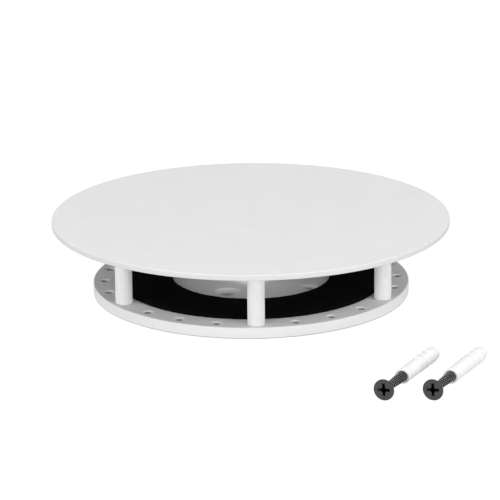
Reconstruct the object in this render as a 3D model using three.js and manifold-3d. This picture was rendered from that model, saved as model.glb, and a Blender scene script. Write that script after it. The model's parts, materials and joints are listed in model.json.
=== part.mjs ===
// Lazy Susan turntable: a thin round platter that turns on a thrust ball bearing at the middle
// of a fixed, screw-down base plate. Six turned posts with nylon glides stand around the base
// plate and steady the platter's rim. Two wall screws in their plugs, the fixings that hold
// the base plate down, lie loose beside it.
//
// Millimetres. +Z is up, z = 0 is the underside of the base plate, and the Z axis is the axis
// that the platter turns about. The front post stands on -Y.

import * as THREE from 'three';
import * as BufferGeometryUtils from 'three/addons/utils/BufferGeometryUtils.js';
import Module from 'manifold-3d';

const wasm = await Module();
wasm.setup();

// ---------------------------------------------------------------- driving dimensions

const PLATTER_RADIUS = 90;
const PLATTER_TOP = 34.5;
const PLATTER_THICKNESS = 2.5;
const PLATTER_UNDERSIDE = PLATTER_TOP - PLATTER_THICKNESS;
const PLATE_EDGE = 0.4; // chamfer on the edges of the platter and the base plate

const BASE_RADIUS = 71.7;
const BASE_THICKNESS = 4.9;

const SEAT_GAP = 0.05; // coat of paint between two faces that are clamped together
const FIT_GAP = 0.15; // radial room around a pin, screw or bush in its hole

// Posts: six of the base plate's 24 holes carry one.
const POST_CIRCLE = 66.5;
const POST_HOLES = 24;
const POSTS = 6;
const POST_RADIUS = 3.8;
const POST_HEIGHT = 25.3;
const POST_EDGE = 0.35;
const POST_HOLE_RADIUS = 1.4;
const POST_HOLE_MOUTH = 2.4;
const POST_HOLE_SINK = 0.35; // depth of the shallow cone at the mouth
const STUD_RADIUS = POST_HOLE_RADIUS - FIT_GAP;
const STUD_LENGTH = 4.2;

// Nylon glides pressed into the tops of the posts.
const GLIDE_RADIUS = 3.2;
const GLIDE_RUNNING_GAP = 0.25;
const GLIDE_STEM_RADIUS = 1.8;
const GLIDE_STEM_LENGTH = 2.6;
const GLIDE_SOCKET_DEPTH = 3.2;

// Felt pad on the base plate.
const PAD_INNER_RADIUS = 35.7;
const PAD_OUTER_RADIUS = 60.2;
const PAD_THICKNESS = 1.8;
const PAD_EDGE = 0.5;

// Holes through the middle of the base plate.
const SCREW_HOLE_CIRCLE = 22.6; // the two wide ones, for the wall screws
const SCREW_HOLE_RADIUS = 3;
const SCREW_HOLE_MOUTH = 5.9;
const SCREW_HOLE_SINK = 1.5;
const PIN_HOLE_CIRCLE = 29.8; // the two small ones
const PIN_HOLE_RADIUS = 1.9;
const PIN_HOLE_MOUTH = 3.65;
const PIN_HOLE_SINK = 0.8;

// Column that carries the bearing.
const COLUMN_RADIUS = 8.8;
const COLUMN_FOOT_RADIUS = 10.2; // where it spreads onto the base plate
const COLUMN_FOOT = 1.4;
const COLUMN_HEIGHT = 15.7;
const COLUMN_FLOOR = 1.4;
const COLUMN_BORE = 5.1;
const COLUMN_FLARE_START = 8.6;
const COLUMN_FLARE_END = 13.2;
const COLUMN_TOP_RADIUS = 13.4;
const COLUMN_TOP = BASE_THICKNESS + COLUMN_HEIGHT;

// Countersunk screws that hold the column to the base plate from below.
const COLUMN_SCREWS = 3;
const COLUMN_SCREW_CIRCLE = 6.95;
const COLUMN_SCREW_RADIUS = 1.15;
const COLUMN_SCREW_HEAD = 2.3;
const COLUMN_SCREW_RECESS = 0.25;
const COLUMN_SCREW_LENGTH = 9;
const COLUMN_SCREW_BITE = 5;
const COLUMN_SCREW_SOCKET = 0.8;

// Spindle, its bushes and the grub screw that keeps it in.
const SPINDLE_RADIUS = 4;
const SPINDLE_FOOT = 6.9;
const SPINDLE_HEAD = 31.7;
const GROOVE_RADIUS = 3.1;
const GROOVE_HEIGHT = 12.4; // middle of the groove above the underside of the base plate
const GROOVE_WIDTH = 2.3;
const BUSH_RADIUS = COLUMN_BORE - FIT_GAP;
const BUSH_BORE = SPINDLE_RADIUS + FIT_GAP;
const LOWER_BUSH = [6.7, 10.2]; // bottom and top
const UPPER_BUSH = [14.6, 20.4];
const GRUB_RADIUS = 1.3;
const GRUB_TIP_RADIUS = 0.85;
const GRUB_TIP_REACH = 3.4; // how near to the axis the tip comes
const GRUB_SHOULDER = 4.4;
const GRUB_OUTER_END = 8.5;

// Thrust ball bearing.
const BEARING_HEIGHT = 9;
const RACE_THICKNESS = 2.4;
const RACE_BORE = 6.4;
const RACE_RADIUS = 13;
const RACE_EDGE = 0.3;
const BALLS = 10;
const BALL_RADIUS = 2.38;
const BALL_CIRCLE = 9.6;
const GROOVE_ARC = 2.6; // cross radius of the ball track
const CAGE_BORE = 6.4;
const CAGE_RADIUS = 12.8;
const CAGE_THICKNESS = 1.5;
const POCKET_RADIUS = 2.65;
const BEARING_FOOT = COLUMN_TOP + SEAT_GAP;
const BALL_HEIGHT = BEARING_FOOT + BEARING_HEIGHT / 2;

// Hub flange under the platter, held by nuts on welded studs.
const HUB_RADIUS = 24;
const HUB_TOP = PLATTER_UNDERSIDE - SEAT_GAP;
const HUB_UNDERSIDE = BEARING_FOOT + BEARING_HEIGHT + SEAT_GAP;
const HUB_PILOT_RADIUS = 6.1;
const HUB_PILOT_LENGTH = 1.8;
const HUB_STUDS = 4;
const HUB_STUD_CIRCLE = 18.5;
const HUB_STUD_RADIUS = 1.4;
const HUB_STUD_LENGTH = 5.2;
const HUB_STUD_EDGE = 0.25;
const NUT_ACROSS_FLATS = 5.5;
const NUT_HEIGHT = 2.3;

// Wall screw and plug. Both lie on the axis of the screw, measured from its head.
const WALL_SCREW_LENGTH = 40;
const WALL_SCREW_HEAD = 4.5;
const WALL_SCREW_HEAD_RIM = 0.35;
const WALL_SCREW_HEAD_HEIGHT = 2.9;
const WALL_SCREW_NECK = 1.75;
const WALL_SCREW_NECK_LENGTH = 5;
const WALL_SCREW_RADIUS = 2.2;
const WALL_SCREW_POINT = 4.5;
const WALL_SCREW_POINT_RADIUS = 0.25;
const RECESS_WIDTH = 1.1;
const RECESS_SPAN = 4.8;
const RECESS_DEPTH = 1.9;

const PLUG_MOUTH = 19.6; // where the plug starts
const PLUG_LENGTH = 35;
const PLUG_COLLAR_RADIUS = 3.3;
const PLUG_COLLAR = 1.2;
const PLUG_BODY_RADIUS = 3.2;
const PLUG_BORE = 2.5;
const PLUG_RIBS = 3;
const PLUG_RIBS_START = 17;
const PLUG_RIB_PITCH = 5.4;
const PLUG_RIB_RADIUS = 3.35;
const PLUG_RIB_RISE = 0.5;
const PLUG_RIB_FALL = 2.6;
const PLUG_TIP_RADIUS = 2.9;
const PLUG_TIP = 3;
const PLUG_SLOT_WIDTH = 0.7;
const PLUG_SLOT = [9, 30]; // from and to, along the plug
const PLUG_SLOT_LEAN = 36; // degrees that it leans from upright, as the plug lies

// Where the two wall screws lie: the middle of each head, and the way they point.
const WALL_SCREW_PLACES = [
  [49, -153],
  [69, -154],
];
const WALL_SCREW_HEADING = THREE.MathUtils.degToRad(27); // turned from +Y towards +X

// Sides of the round shapes.
const SIDES = { plate: 96, ring: 36, pin: 16, hole: 10 };

// ---------------------------------------------------------------- materials

const finish = (color, roughness, metalness) =>
  new THREE.MeshStandardMaterial({ color, roughness, metalness });

const MATERIALS = {
  whitePaint: finish(0xf2f2f0, 0.45, 0),
  felt: finish(0x0b0b0c, 1, 0),
  nylon: finish(0xeeeeea, 0.5, 0),
  aluminium: finish(0xc4c6c8, 0.35, 1),
  steel: finish(0xa9abae, 0.3, 1),
  ballSteel: finish(0xd4d6d8, 0.12, 1),
  bronze: finish(0xb08a4a, 0.4, 1),
  blackScrew: finish(0x3a3a3c, 0.5, 0.6),
};

// ---------------------------------------------------------------- solids

const TURN = 2 * Math.PI;

// A closed solid from a three.js geometry.
function solid(geometry) {
  const bare = geometry.clone();
  bare.deleteAttribute('normal');
  bare.deleteAttribute('uv');
  const merged = BufferGeometryUtils.mergeVertices(bare);
  const corners = merged.index.array;
  const triVerts = [];
  for (let i = 0; i < corners.length; i += 3) {
    const [a, b, c] = corners.slice(i, i + 3);
    if (a !== b && b !== c && c !== a) triVerts.push(a, b, c);
  }
  return new wasm.Manifold(new wasm.Mesh({
    numProp: 3,
    vertProperties: new Float32Array(merged.attributes.position.array),
    triVerts: new Uint32Array(triVerts),
  }));
}

// The three.js geometry of a solid.
function geometryOf(shape) {
  const { vertProperties, triVerts } = shape.getMesh();
  const geometry = new THREE.BufferGeometry();
  geometry.setAttribute('position', new THREE.BufferAttribute(new Float32Array(vertProperties), 3));
  geometry.setIndex(new THREE.BufferAttribute(new Uint32Array(triVerts), 1));
  const flat = geometry.toNonIndexed();
  flat.computeVertexNormals();
  return flat;
}

// A solid turned about Z. The outline is [radius, z] pairs that run up the outside from the
// foot, and close on the axis, or down a bore where the first point is repeated at the end.
function turned(outline, sides) {
  const points = outline.map(([radius, z]) => new THREE.Vector2(radius, z));
  return solid(new THREE.LatheGeometry(points, sides).rotateX(Math.PI / 2));
}

function cylinder(radius, bottom, top, sides) {
  return turned([[0, bottom], [radius, bottom], [radius, top], [0, top]], sides);
}

// A ring with chamfered outer edges.
function ring(bore, radius, bottom, top, edge, sides) {
  return turned([
    [bore, bottom],
    [radius - edge, bottom],
    [radius, bottom + edge],
    [radius, top - edge],
    [radius - edge, top],
    [bore, top],
    [bore, bottom],
  ], sides);
}

// A disc with chamfered edges.
function disc(radius, bottom, top, edge, sides) {
  return turned([
    [0, bottom],
    [radius - edge, bottom],
    [radius, bottom + edge],
    [radius, top - edge],
    [radius - edge, top],
    [0, top],
  ], sides);
}

function box(width, depth, bottom, top) {
  const geometry = new THREE.BoxGeometry(width, depth, top - bottom);
  return solid(geometry.translate(0, 0, (top + bottom) / 2));
}

// A point on a circle about Z, where turn 0 is the front, -Y, and turns grow towards +X.
function onCircle(radius, angle) {
  return [radius * Math.sin(angle), -radius * Math.cos(angle), 0];
}

// Points at equal steps around a circle.
function places(radius, count, first = 0) {
  return Array.from({ length: count }, (_, i) => onCircle(radius, first + i * TURN / count));
}

// The same shape at each of the points, as one solid.
function copies(shape, points) {
  return wasm.Manifold.union(points.map((point) => shape.translate(point)));
}

// Cutter for a hole in the base plate with a cone of this depth at its upper mouth.
function sunkHole(radius, mouth, depth, sides = SIDES.pin) {
  const over = 1;
  return turned([
    [0, -over],
    [radius, -over],
    [radius, BASE_THICKNESS - depth],
    [mouth + over * (mouth - radius) / depth, BASE_THICKNESS + over],
    [0, BASE_THICKNESS + over],
  ], sides);
}

// ---------------------------------------------------------------- fixed base

function basePlate() {
  const plate = disc(BASE_RADIUS, 0, BASE_THICKNESS, PLATE_EDGE, SIDES.plate);
  const postHole = sunkHole(POST_HOLE_RADIUS, POST_HOLE_MOUTH, POST_HOLE_SINK, SIDES.hole);
  const screwHole = sunkHole(SCREW_HOLE_RADIUS, SCREW_HOLE_MOUTH, SCREW_HOLE_SINK);
  const pinHole = sunkHole(PIN_HOLE_RADIUS, PIN_HOLE_MOUTH, PIN_HOLE_SINK);
  const columnHoleRadius = COLUMN_SCREW_RADIUS + FIT_GAP;
  const columnHoleMouth = COLUMN_SCREW_HEAD + COLUMN_SCREW_RECESS + FIT_GAP;
  const columnHole = sunkHole(
    columnHoleRadius,
    columnHoleMouth,
    columnHoleMouth - columnHoleRadius,
  ).rotate([180, 0, 0]).translate([0, 0, BASE_THICKNESS]);
  return plate.subtract(wasm.Manifold.union([
    copies(postHole, places(POST_CIRCLE, POST_HOLES)),
    copies(screwHole, places(SCREW_HOLE_CIRCLE, 2, -TURN / 12)),
    copies(pinHole, places(PIN_HOLE_CIRCLE, 2, TURN / 6)),
    copies(columnHole, places(COLUMN_SCREW_CIRCLE, COLUMN_SCREWS)),
  ]));
}

function feltPad() {
  return ring(PAD_INNER_RADIUS, PAD_OUTER_RADIUS, 0, PAD_THICKNESS, PAD_EDGE, 2 * SIDES.ring);
}

// Post with its stud below and the glide's socket in its top, measured from its foot.
function supportPost() {
  const post = turned([
    [0, -STUD_LENGTH],
    [STUD_RADIUS - POST_EDGE, -STUD_LENGTH],
    [STUD_RADIUS, POST_EDGE - STUD_LENGTH],
    [STUD_RADIUS, 0],
    [POST_RADIUS - POST_EDGE, 0],
    [POST_RADIUS, POST_EDGE],
    [POST_RADIUS, POST_HEIGHT - POST_EDGE],
    [POST_RADIUS - POST_EDGE, POST_HEIGHT],
    [0, POST_HEIGHT],
  ], SIDES.pin);
  const socket = cylinder(
    GLIDE_STEM_RADIUS + FIT_GAP,
    POST_HEIGHT - GLIDE_SOCKET_DEPTH,
    POST_HEIGHT + 1,
    SIDES.hole,
  );
  return post.subtract(socket);
}

// Glide with a bevelled head, measured from the top of the post.
function glide() {
  const headTop = PLATTER_UNDERSIDE - GLIDE_RUNNING_GAP - BASE_THICKNESS - POST_HEIGHT - SEAT_GAP;
  const shoulder = headTop * 0.55;
  return turned([
    [0, -GLIDE_STEM_LENGTH],
    [GLIDE_STEM_RADIUS, -GLIDE_STEM_LENGTH],
    [GLIDE_STEM_RADIUS, SEAT_GAP],
    [GLIDE_RADIUS, SEAT_GAP],
    [GLIDE_RADIUS, shoulder],
    [GLIDE_RADIUS * 0.7, headTop],
    [0, headTop],
  ], SIDES.hole);
}

// Column with a spread foot and a flared top, measured from the base plate's upper face.
function bearingColumn() {
  const bend = new THREE.CubicBezierCurve(
    new THREE.Vector2(COLUMN_RADIUS, COLUMN_FLARE_START),
    new THREE.Vector2(COLUMN_RADIUS, (COLUMN_FLARE_START + COLUMN_FLARE_END) / 2),
    new THREE.Vector2(COLUMN_TOP_RADIUS, (COLUMN_FLARE_START + COLUMN_FLARE_END) / 2),
    new THREE.Vector2(COLUMN_TOP_RADIUS, COLUMN_FLARE_END),
  );
  const flare = bend.getPoints(4).map((point) => [point.x, point.y]);
  const body = turned([
    [0, 0],
    [COLUMN_FOOT_RADIUS, 0],
    [COLUMN_RADIUS, COLUMN_FOOT],
    ...flare,
    [COLUMN_TOP_RADIUS, COLUMN_HEIGHT - RACE_EDGE],
    [COLUMN_TOP_RADIUS - RACE_EDGE, COLUMN_HEIGHT],
    [COLUMN_BORE, COLUMN_HEIGHT],
    [COLUMN_BORE, COLUMN_FLOOR],
    [0, COLUMN_FLOOR],
  ], SIDES.ring);
  const screwHole = cylinder(COLUMN_SCREW_RADIUS + FIT_GAP, -1, COLUMN_SCREW_BITE, SIDES.hole);
  const grubHole = cylinder(GRUB_RADIUS + FIT_GAP, 0, COLUMN_RADIUS + 1, SIDES.hole)
    .rotate([-90, 0, 0])
    .translate([0, 0, GROOVE_HEIGHT - BASE_THICKNESS]);
  return body
    .subtract(copies(screwHole, places(COLUMN_SCREW_CIRCLE, COLUMN_SCREWS)))
    .subtract(grubHole);
}

// One of the column's screws, measured from the underside of the base plate.
function columnScrew() {
  const coneEnd = COLUMN_SCREW_RECESS + COLUMN_SCREW_HEAD - COLUMN_SCREW_RADIUS;
  const screw = turned([
    [0, COLUMN_SCREW_RECESS],
    [COLUMN_SCREW_HEAD, COLUMN_SCREW_RECESS],
    [COLUMN_SCREW_RADIUS, coneEnd],
    [COLUMN_SCREW_RADIUS, COLUMN_SCREW_LENGTH],
    [0, COLUMN_SCREW_LENGTH],
  ], SIDES.hole);
  const socket = cylinder(COLUMN_SCREW_SOCKET, -1, 2 * COLUMN_SCREW_SOCKET, 6);
  return screw.subtract(socket);
}

function bush([bottom, top]) {
  return turned([
    [BUSH_BORE, bottom],
    [BUSH_RADIUS, bottom],
    [BUSH_RADIUS, top],
    [BUSH_BORE, top],
    [BUSH_BORE, bottom],
  ], SIDES.pin);
}

// Grub screw at the back of the column, with its dog point in the spindle's groove.
function grubScrew() {
  const body = turned([
    [0, GRUB_TIP_REACH],
    [GRUB_TIP_RADIUS, GRUB_TIP_REACH],
    [GRUB_TIP_RADIUS, GRUB_SHOULDER],
    [GRUB_RADIUS, GRUB_SHOULDER],
    [GRUB_RADIUS, GRUB_OUTER_END],
    [0, GRUB_OUTER_END],
  ], SIDES.hole);
  const socket = cylinder(GRUB_TIP_RADIUS, GRUB_OUTER_END - GRUB_RADIUS, GRUB_OUTER_END + 1, 6);
  return body.subtract(socket).rotate([-90, 0, 0]).translate([0, 0, GROOVE_HEIGHT]);
}

// ---------------------------------------------------------------- bearing

// Lower race with the ball track in its upper face, measured from its foot.
function race() {
  const ballHeight = BEARING_HEIGHT / 2;
  const halfWidth = Math.sqrt(GROOVE_ARC ** 2 - (ballHeight - RACE_THICKNESS) ** 2);
  const halfAngle = Math.asin(halfWidth / GROOVE_ARC);
  const steps = 4;
  const track = [];
  for (let i = 0; i <= steps; i++) {
    const angle = halfAngle * (1 - 2 * i / steps);
    track.push([
      BALL_CIRCLE + GROOVE_ARC * Math.sin(angle),
      ballHeight - GROOVE_ARC * Math.cos(angle),
    ]);
  }
  return turned([
    [RACE_BORE, 0],
    [RACE_RADIUS - RACE_EDGE, 0],
    [RACE_RADIUS, RACE_EDGE],
    [RACE_RADIUS, RACE_THICKNESS],
    ...track,
    [RACE_BORE, RACE_THICKNESS],
    [RACE_BORE, 0],
  ], SIDES.ring);
}

function bearingBall() {
  return solid(new THREE.SphereGeometry(BALL_RADIUS, SIDES.hole, 6).rotateX(Math.PI / 2));
}

function ballCage() {
  const half = CAGE_THICKNESS / 2;
  const body = ring(CAGE_BORE, CAGE_RADIUS, -half, half, RACE_EDGE, SIDES.ring);
  const pocket = cylinder(POCKET_RADIUS, -half - 1, half + 1, SIDES.hole);
  return body.subtract(copies(pocket, places(BALL_CIRCLE, BALLS)));
}

// ---------------------------------------------------------------- turning platter

const HUB_STUD_PLACES = places(HUB_STUD_CIRCLE, HUB_STUDS, TURN / 8);

function platter() {
  return disc(PLATTER_RADIUS, 0, PLATTER_THICKNESS, PLATE_EDGE, SIDES.plate);
}

// Welded stud, measured down from the platter's underside.
function hubStud() {
  return disc(HUB_STUD_RADIUS, -HUB_STUD_LENGTH, -SEAT_GAP, HUB_STUD_EDGE, SIDES.hole);
}

function platterHub() {
  const bore = SPINDLE_RADIUS + FIT_GAP;
  const body = turned([
    [bore, HUB_UNDERSIDE - HUB_PILOT_LENGTH],
    [HUB_PILOT_RADIUS, HUB_UNDERSIDE - HUB_PILOT_LENGTH],
    [HUB_PILOT_RADIUS, HUB_UNDERSIDE],
    [HUB_RADIUS - PLATE_EDGE, HUB_UNDERSIDE],
    [HUB_RADIUS, HUB_UNDERSIDE + PLATE_EDGE],
    [HUB_RADIUS, HUB_TOP],
    [bore, HUB_TOP],
    [bore, HUB_UNDERSIDE - HUB_PILOT_LENGTH],
  ], SIDES.ring);
  const studHole = cylinder(HUB_STUD_RADIUS + FIT_GAP, 0, PLATTER_TOP, SIDES.hole);
  return body.subtract(copies(studHole, HUB_STUD_PLACES));
}

// Nut, measured down from its top.
function hubNut() {
  const nut = cylinder(NUT_ACROSS_FLATS / Math.sqrt(3), -NUT_HEIGHT, 0, 6);
  const thread = cylinder(HUB_STUD_RADIUS + FIT_GAP, -NUT_HEIGHT - 1, 1, SIDES.hole);
  return nut.subtract(thread);
}

// Spindle with the groove that the grub screw's point runs in.
function spindle() {
  const grooveFoot = GROOVE_HEIGHT - GROOVE_WIDTH / 2;
  const grooveTop = GROOVE_HEIGHT + GROOVE_WIDTH / 2;
  return turned([
    [0, SPINDLE_FOOT],
    [SPINDLE_RADIUS - PLATE_EDGE, SPINDLE_FOOT],
    [SPINDLE_RADIUS, SPINDLE_FOOT + PLATE_EDGE],
    [SPINDLE_RADIUS, grooveFoot],
    [GROOVE_RADIUS, grooveFoot],
    [GROOVE_RADIUS, grooveTop],
    [SPINDLE_RADIUS, grooveTop],
    [SPINDLE_RADIUS, SPINDLE_HEAD],
    [0, SPINDLE_HEAD],
  ], SIDES.pin);
}

// ---------------------------------------------------------------- wall screw and plug

// Countersunk screw with a cross recess. Its head's face is at 0 and it points along +Z.
function wallScrew() {
  const body = turned([
    [0, 0],
    [WALL_SCREW_HEAD, 0],
    [WALL_SCREW_HEAD, WALL_SCREW_HEAD_RIM],
    [WALL_SCREW_NECK, WALL_SCREW_HEAD_HEIGHT],
    [WALL_SCREW_NECK, WALL_SCREW_NECK_LENGTH],
    [WALL_SCREW_RADIUS, WALL_SCREW_NECK_LENGTH + 1],
    [WALL_SCREW_RADIUS, WALL_SCREW_LENGTH - WALL_SCREW_POINT],
    [WALL_SCREW_POINT_RADIUS, WALL_SCREW_LENGTH],
    [0, WALL_SCREW_LENGTH],
  ], SIDES.pin);
  const slot = box(RECESS_SPAN, RECESS_WIDTH, -1, RECESS_DEPTH);
  return body.subtract(slot).subtract(slot.rotate([0, 0, 90]));
}

// Ribbed plug with a slot through it, on the same axis as its screw.
function wallPlug() {
  const tipStart = PLUG_LENGTH - PLUG_TIP;
  const outline = [
    [PLUG_BORE, 0],
    [PLUG_COLLAR_RADIUS, 0],
    [PLUG_COLLAR_RADIUS, PLUG_COLLAR],
    [PLUG_BODY_RADIUS, PLUG_COLLAR + PLUG_RIB_RISE],
  ];
  for (let i = 0; i < PLUG_RIBS; i++) {
    const start = PLUG_RIBS_START + i * PLUG_RIB_PITCH;
    outline.push([PLUG_BODY_RADIUS, start]);
    outline.push([PLUG_RIB_RADIUS, start + PLUG_RIB_RISE]);
    outline.push([PLUG_BODY_RADIUS, start + PLUG_RIB_FALL]);
  }
  outline.push(
    [PLUG_BODY_RADIUS, tipStart],
    [PLUG_TIP_RADIUS, PLUG_LENGTH],
    [PLUG_BORE, PLUG_LENGTH],
    [PLUG_BORE, 0],
  );
  const slot = box(PLUG_SLOT_WIDTH, 4 * PLUG_RIB_RADIUS, ...PLUG_SLOT)
    .rotate([0, 0, -PLUG_SLOT_LEAN]);
  return turned(outline, SIDES.pin).subtract(slot).translate([0, 0, PLUG_MOUTH]);
}

// ---------------------------------------------------------------- assembly

function addPart(group, name, shape, material, position = [0, 0, 0]) {
  const mesh = new THREE.Mesh(geometryOf(shape), material.clone());
  mesh.name = name;
  mesh.position.set(...position);
  group.add(mesh);
  return mesh;
}

// The same part at each of the points, numbered from 1, all at height z.
function addParts(group, name, shape, material, points, z) {
  points.forEach(([x, y], i) => {
    addPart(group, `${name}_${i + 1}`, shape, material, [x, y, z]);
  });
}

function fixedBase() {
  const group = new THREE.Group();
  const plateTop = BASE_THICKNESS + SEAT_GAP;
  const posts = places(POST_CIRCLE, POSTS);
  const columnScrews = places(COLUMN_SCREW_CIRCLE, COLUMN_SCREWS);
  addPart(group, 'base_plate', basePlate(), MATERIALS.whitePaint);
  addPart(group, 'felt_pad', feltPad(), MATERIALS.felt, [0, 0, plateTop]);
  addParts(group, 'support_post', supportPost(), MATERIALS.whitePaint, posts, plateTop);
  addParts(group, 'post_glide', glide(), MATERIALS.nylon, posts, plateTop + POST_HEIGHT);
  addPart(group, 'bearing_column', bearingColumn(), MATERIALS.whitePaint, [0, 0, BASE_THICKNESS]);
  addParts(group, 'column_screw', columnScrew(), MATERIALS.steel, columnScrews, 0);
  addPart(group, 'lower_bush', bush(LOWER_BUSH), MATERIALS.bronze);
  addPart(group, 'upper_bush', bush(UPPER_BUSH), MATERIALS.bronze);
  addPart(group, 'spindle_grub_screw', grubScrew(), MATERIALS.steel);
  addPart(group, 'lower_race', race(), MATERIALS.steel, [0, 0, BEARING_FOOT]);
  return group;
}

function ballSet() {
  const group = new THREE.Group();
  group.position.z = BALL_HEIGHT;
  addPart(group, 'ball_cage', ballCage(), MATERIALS.bronze);
  addParts(group, 'bearing_ball', bearingBall(), MATERIALS.ballSteel, places(BALL_CIRCLE, BALLS), 0);
  return group;
}

function turningTop() {
  const group = new THREE.Group();
  const upperRace = race().rotate([180, 0, 0]);
  const raceTop = BEARING_FOOT + BEARING_HEIGHT;
  addPart(group, 'upper_race', upperRace, MATERIALS.steel, [0, 0, raceTop]);
  addPart(group, 'spindle', spindle(), MATERIALS.steel);
  addPart(group, 'platter_hub', platterHub(), MATERIALS.aluminium);
  addParts(group, 'hub_stud', hubStud(), MATERIALS.steel, HUB_STUD_PLACES, PLATTER_UNDERSIDE);
  addParts(group, 'hub_nut', hubNut(), MATERIALS.steel, HUB_STUD_PLACES, HUB_UNDERSIDE - SEAT_GAP);
  addPart(group, 'platter', platter(), MATERIALS.whitePaint, [0, 0, PLATTER_UNDERSIDE]);
  return group;
}

// Two wall screws, each part-way into its plug, lying on the surface that the base stands on.
// A screw's wide head lifts that end, so its axis slopes down towards the tip of the plug.
function wallFixings() {
  const group = new THREE.Group();
  const ribs = PLUG_RIBS_START + (PLUG_RIBS - 1) * PLUG_RIB_PITCH + PLUG_RIB_RISE;
  const lastRib = PLUG_MOUTH + ribs;
  const slope = Math.asin((WALL_SCREW_HEAD - PLUG_RIB_RADIUS) / lastRib);
  const screw = wallScrew();
  const plug = wallPlug();
  WALL_SCREW_PLACES.forEach(([x, y], i) => {
    const set = new THREE.Group();
    set.position.set(x, y, WALL_SCREW_HEAD);
    set.rotation.set(-(Math.PI / 2 + slope), 0, -WALL_SCREW_HEADING, 'ZYX');
    addPart(set, `wall_screw_${i + 1}`, screw, MATERIALS.blackScrew);
    addPart(set, `wall_plug_${i + 1}`, plug, MATERIALS.nylon);
    group.add(set);
  });
  return group;
}

const group = new THREE.Group();
group.add(fixedBase(), ballSet(), turningTop(), wallFixings());

export default group;
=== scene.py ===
"""The looks of the lazy Susan turntable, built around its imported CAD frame.

Metres, +Z up, in the frame's own axes: the platter turns about Z and the front post stands on -Y.
Every piece gets a fine mesh and a procedural material, and rides on the CAD body it belongs to.
"""

import json
import math
import random
from itertools import product

import bpy
from mathutils import Matrix, Vector, noise


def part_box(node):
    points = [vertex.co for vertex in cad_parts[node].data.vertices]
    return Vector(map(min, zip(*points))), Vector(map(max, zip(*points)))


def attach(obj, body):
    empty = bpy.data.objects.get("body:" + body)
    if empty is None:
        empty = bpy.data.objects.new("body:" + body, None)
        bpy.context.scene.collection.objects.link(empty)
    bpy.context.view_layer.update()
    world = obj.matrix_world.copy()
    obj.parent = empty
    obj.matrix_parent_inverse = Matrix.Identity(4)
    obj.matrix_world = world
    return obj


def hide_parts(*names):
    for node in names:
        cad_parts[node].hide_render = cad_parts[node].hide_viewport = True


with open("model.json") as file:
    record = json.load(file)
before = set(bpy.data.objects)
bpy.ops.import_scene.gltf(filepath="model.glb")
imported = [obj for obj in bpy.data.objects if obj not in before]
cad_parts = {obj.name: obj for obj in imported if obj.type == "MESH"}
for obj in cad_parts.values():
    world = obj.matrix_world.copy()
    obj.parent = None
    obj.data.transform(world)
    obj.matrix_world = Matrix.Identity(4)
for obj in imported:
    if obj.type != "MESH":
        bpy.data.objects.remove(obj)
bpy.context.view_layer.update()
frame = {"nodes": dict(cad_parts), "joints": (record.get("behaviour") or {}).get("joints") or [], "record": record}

# ------ driving dimensions

MM = 0.001
TURN = 2 * math.pi


def mm(*sizes):
    """Metres from millimetres."""
    return [size * MM for size in sizes]


CAMERA_HEADING = math.radians(1.762)  # turned from +Y towards +X
CAMERA_TILT = math.radians(17.062)  # looks down by this much
CAMERA_ROLL = math.radians(-0.4624)
CAMERA_DISTANCE = 1.38277
CAMERA_LENS = 218.32  # focal length in millimetres, on the default 36 mm sensor
CAMERA_AIM = (-0.00039, 0.01741)  # off the origin, across and up in the view

FLOOR_RADIUS = 20.0
FLOOR_SHADE = 0.12  # how much of the light on it the floor sends back
FLOOR_GLOW = 0.504  # brightness of the floor as a lamp
FLOOR_WHITE = 0.95  # brightness of the floor as it is seen
# The black card under the base plate is a painted shadow, which reaches out at the front as a painted contact
# shadow:
SHADOW_CARD_INSET = 0.1 * MM  # how far the card under the base plate stays inside its edge
SHADOW_CARD_SHIFT = 0.3 * MM  # and how far it lies towards the front
SKY_GLOW = 2.898
SKY = ((0.7, 0.0), (1.0, 1.0))  # sine of the height, share of SKY_GLOW
LAMPS = {  # heading and height in degrees, distance, size and watts
    "low_left_light": (-40, 10, 1.5, 0.5, 6.7),
    "low_far_left_light": (-75, 12, 1.5, 0.8, 6.76),
    "front_light": (0, 35, 1.5, 0.8, 1.22),
    "low_right_light": (40, 10, 1.5, 0.5, 9.0),
    "right_light": (60, 30, 1.5, 0.8, 4.64),
}
LAMP_AIM = (0, 0, 0.02)

SIDES = 192  # of the large round shapes
RING_SIDES = 96
SMALL_SIDES = 64
BORE_SIDES = 48
TAPPED_SIDES = 32
SHARP = math.radians(32)  # edges that bend more than this are shaded as sharp

PLATE_ROUNDING = 0.45 * MM  # edges of the platter and the base plate
HOLE_ROUNDING = 0.12 * MM
POST_HOLES = 24
# Holes: radius, radius of the mouth, depth of the mouth's cone and width of its steep lip.
POST_HOLE = mm(1.4, 2.4, 0.45, 0.3)
SCREW_HOLE = mm(3.0, 5.9, 1.5, 0.4)
SCREW_HOLE_CIRCLE = 22.6 * MM
PIN_HOLE = mm(1.9, 3.65, 0.8, 0.3)
PIN_HOLE_CIRCLE = 29.8 * MM
COLUMN_SCREW_HOLE = mm(1.3, 2.7, 1.4, 0.5)

FELT_INNER_RADIUS = 35.7 * MM
FELT_EDGE = 0.6 * MM
FELT_STEP = 0.7 * MM  # size of the faces of its mesh
FELT_FLAT = 0.3 * MM  # up to this height it stays as flat as what it lies on
FELT_ROUGHNESS = 0.12 * MM  # height of its lumps
FELT_FUZZ = (1.1 * MM, 7)  # size of the lumps, and their seed
FELT_SWELL = (1.6 * MM, 31)
FELT_FIBRES = 9000
FIBRE_SEED = 11
FIBRE_RINGS = 4
AT_OUTER_EDGE = 0.35  # share of the fibres
AT_AN_EDGE = 0.5
# Fibres, in plain millimetres: how they gather at an edge, and the least and the most of a draw.
FIBRE_GATHER = 0.5
FIBRE_LENGTH = (0.5, 1.9)
FIBRE_LIFT = (0.02, 0.3)
FIBRE_THICKNESS = (0.018, 0.035)
FIBRE_BEND = (-0.4, 0.4)
FIBRE_TAPER = 0.6  # share of its thickness that a fibre loses towards its tip

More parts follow.
